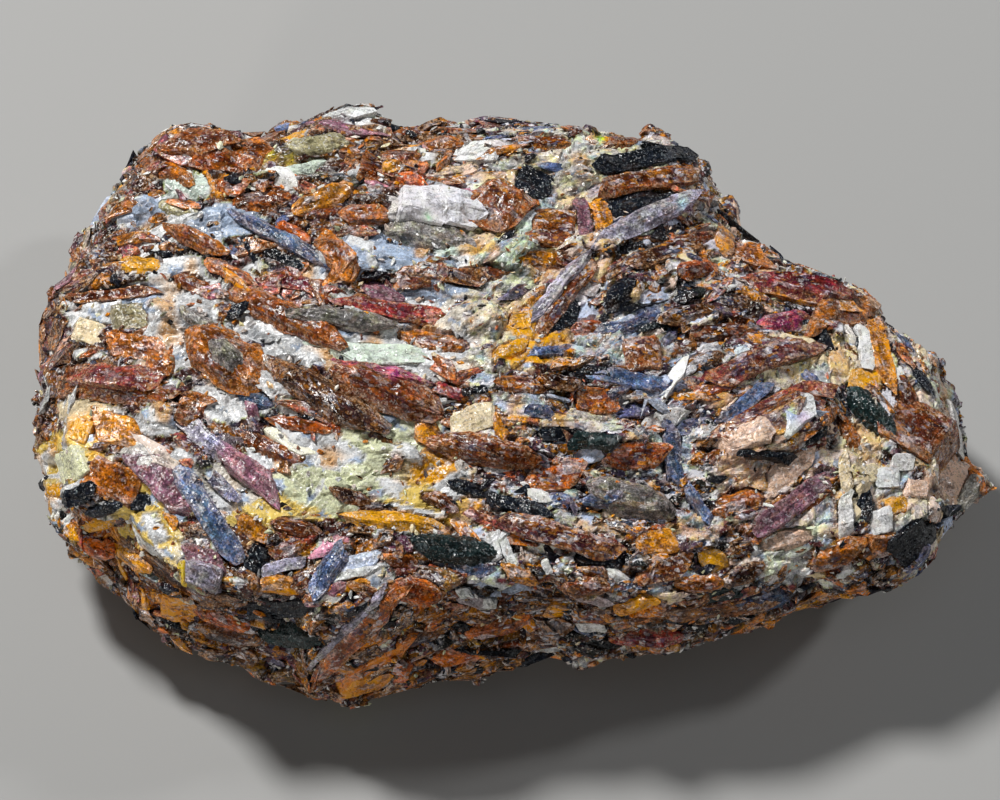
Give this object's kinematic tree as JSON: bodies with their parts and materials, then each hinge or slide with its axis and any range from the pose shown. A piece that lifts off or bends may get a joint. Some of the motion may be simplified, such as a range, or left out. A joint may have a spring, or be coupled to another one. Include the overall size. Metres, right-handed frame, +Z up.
{
  "type": "titanite rock specimen",
  "caption": "Loose hand-sized lump of titanite rock: brown wedge crystals grown together with white, green and black minerals, resting on a flat facet.",
  "frame": {"origin": "on the floor, under the middle of the lump's box", "axes": "+X along the long side, +Z up out of the broad crystal face, -Y towards the side that the broad face leans to"},
  "size_m": [0.0806, 0.0532, 0.0229],
  "materials": {
    "titanite": "broken crystalline rock: glossy brown to amber titanite with sugary white-green matrix and black needles"
  },
  "bodies": {
    "root": {"titanite_rock": "titanite"}
  },
  "joints": []
}
